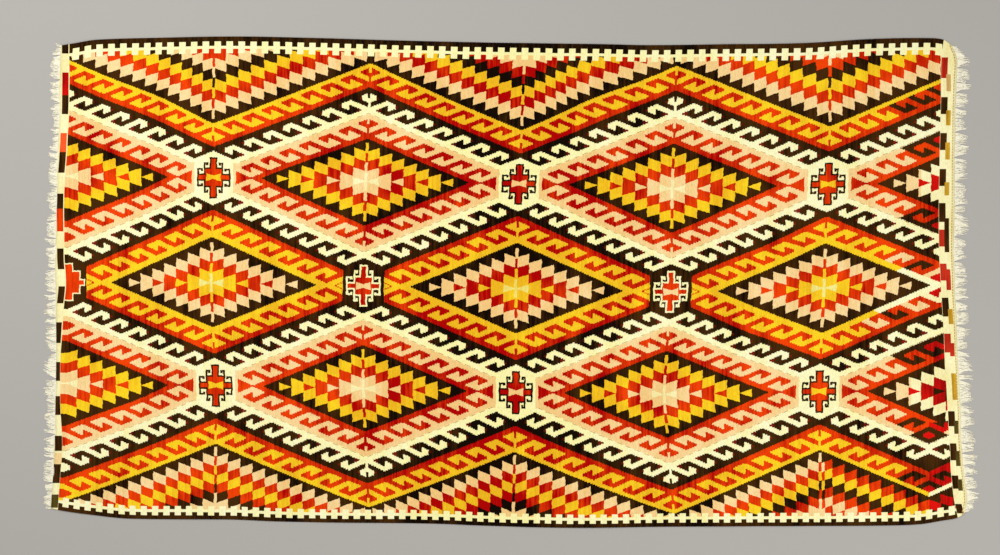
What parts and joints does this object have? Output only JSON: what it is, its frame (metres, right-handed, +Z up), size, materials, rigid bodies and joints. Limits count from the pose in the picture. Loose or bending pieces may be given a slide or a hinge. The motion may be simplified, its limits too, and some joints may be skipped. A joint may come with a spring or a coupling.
{
  "type": "kilim rug",
  "caption": "Long flat-woven wool rug that lies on a floor, with dark selvedges, patterned field and a warp fringe along each short end.",
  "frame": {"origin": "middle of the whole rug, fringes included, on the floor it lies on", "axes": "+X along the warps, the long way of the rug; +Y along the wefts; +Z up, out of the face of the cloth"},
  "size_m": [2.9302, 1.5424, 0.003],
  "materials": {
    "kilim_wool": "matte",
    "warp_wool": "matte"
  },
  "bodies": {
    "root": {"kilim_panel": "kilim_wool", "fringe_left": "warp_wool", "fringe_right": "warp_wool"}
  },
  "joints": []
}
